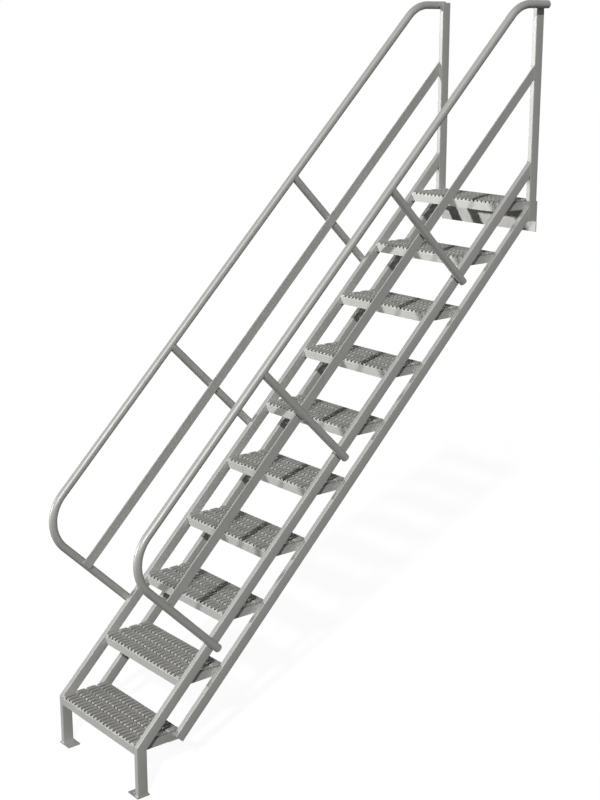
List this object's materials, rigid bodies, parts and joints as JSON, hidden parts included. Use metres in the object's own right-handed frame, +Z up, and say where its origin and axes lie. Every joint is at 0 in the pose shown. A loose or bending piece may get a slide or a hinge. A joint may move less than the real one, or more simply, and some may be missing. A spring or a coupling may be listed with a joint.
{
  "type": "stairway ladder",
  "caption": "Steep fixed steel stair: open grating treads between paired tube stringers, bent round handrails with flat mid rails, foot plates and a rear mounting plate.",
  "frame": {"origin": "centre of the mounting plate's rear face, where the stair meets the wall or platform", "axes": "+Z up, +Y in the direction of climbing and out of the plate's rear face, +X to the climber's right"},
  "size_m": [0.737, 2.432, 3.373],
  "materials": {
    "frame_paint": "satin enamel",
    "tread_paint": "satin enamel on serrated sheet"
  },
  "bodies": {
    "root": {"tread_01": "tread_paint", "tread_01_end_plates": "frame_paint", "tread_02": "tread_paint", "tread_02_end_plates": "frame_paint", "tread_03": "tread_paint", "tread_03_end_plates": "frame_paint", "tread_04": "tread_paint", "tread_04_end_plates": "frame_paint", "tread_05": "tread_paint", "tread_05_end_plates": "frame_paint", "tread_06": "tread_paint", "tread_06_end_plates": "frame_paint", "tread_07": "tread_paint", "tread_07_end_plates": "frame_paint", "tread_08": "tread_paint", "tread_08_end_plates": "frame_paint", "tread_09": "tread_paint", "tread_09_end_plates": "frame_paint", "tread_10": "tread_paint", "tread_10_end_plates": "frame_paint", "left_foot_plate": "frame_paint", "left_leg": "frame_paint", "left_upper_stringer": "frame_paint", "left_lower_stringer": "frame_paint", "left_post": "frame_paint", "left_handrail": "frame_paint", "left_mid_rail": "frame_paint", "left_brace_1": "frame_paint", "left_brace_2": "frame_paint", "left_rail_caps": "frame_paint", "right_foot_plate": "frame_paint", "right_leg": "frame_paint", "right_upper_stringer": "frame_paint", "right_lower_stringer": "frame_paint", "right_post": "frame_paint", "right_handrail": "frame_paint", "right_mid_rail": "frame_paint", "right_brace_1": "frame_paint", "right_brace_2": "frame_paint", "right_rail_caps": "frame_paint", "mounting_plate": "frame_paint"}
  },
  "joints": []
}
